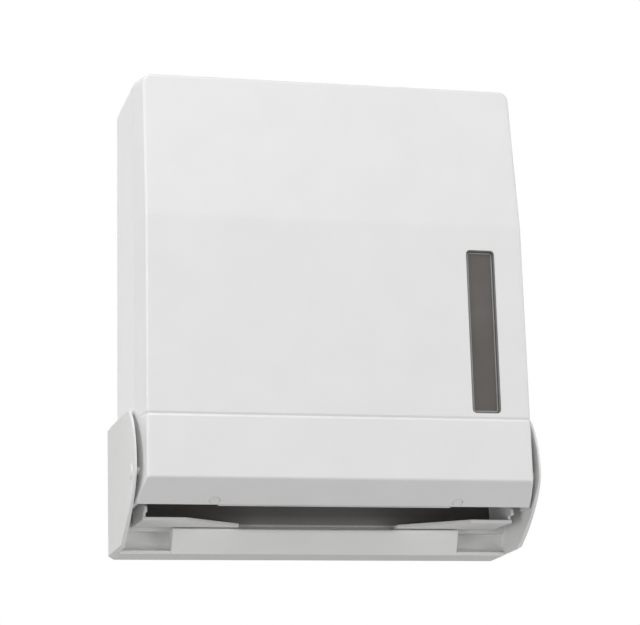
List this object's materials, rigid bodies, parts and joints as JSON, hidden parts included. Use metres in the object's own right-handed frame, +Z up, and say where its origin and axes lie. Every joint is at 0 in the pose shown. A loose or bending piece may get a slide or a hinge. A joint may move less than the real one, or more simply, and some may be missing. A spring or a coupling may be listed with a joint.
{
  "type": "folded towel dispenser",
  "caption": "Wall-mounted folded paper towel dispenser: white hinged cover with a sloped top, smoke level window and angled chin, over a housing with side cheeks, tray and cam lock.",
  "frame": {"origin": "middle of the four wall screws, on the wall plane", "axes": "+Y into the wall, +X to the right seen from the front, +Z up"},
  "size_m": [0.299, 0.125, 0.3425],
  "materials": {
    "cover": "satin moulded",
    "housing": "satin moulded",
    "tray": "matte moulded",
    "guides": "matte moulded",
    "pins": "satin moulded",
    "window": "clear smoke",
    "keeper": "zinc plated",
    "lock": "bright plated",
    "plug": "plated brass",
    "screws": "zinc plated"
  },
  "bodies": {
    "base": {"rear_housing": "housing", "towel_tray": "tray", "tray_screws": "screws", "left_stack_guide": "guides", "right_stack_guide": "guides", "guide_screws": "screws", "latch_keeper": "keeper", "keeper_screws": "screws", "left_hinge_pin": "pins", "right_hinge_pin": "pins"},
    "cover": {"front_cover": "cover", "level_window": "window", "window_retainer": "guides", "window_screws": "screws", "exit_lip": "cover", "lip_rivets": "pins", "lock_body": "lock", "lock_washer": "screws", "lock_nut": "lock"},
    "lock_core": {"lock_plug": "plug", "lock_cam": "keeper", "cam_screw": "screws"}
  },
  "joints": [
    {"name": "cover_hinge", "type": "hinge", "parent": "base", "child": "cover", "pos_m": [0, -0.105, -0.132], "axis": [1, 0, 0], "range_deg": [0, 100]},
    {"name": "lock_turn", "type": "hinge", "parent": "cover", "child": "lock_core", "pos_m": [0, -0.073, 0.16], "axis": [0, 0, 1], "range_deg": [0, 90]}
  ]
}
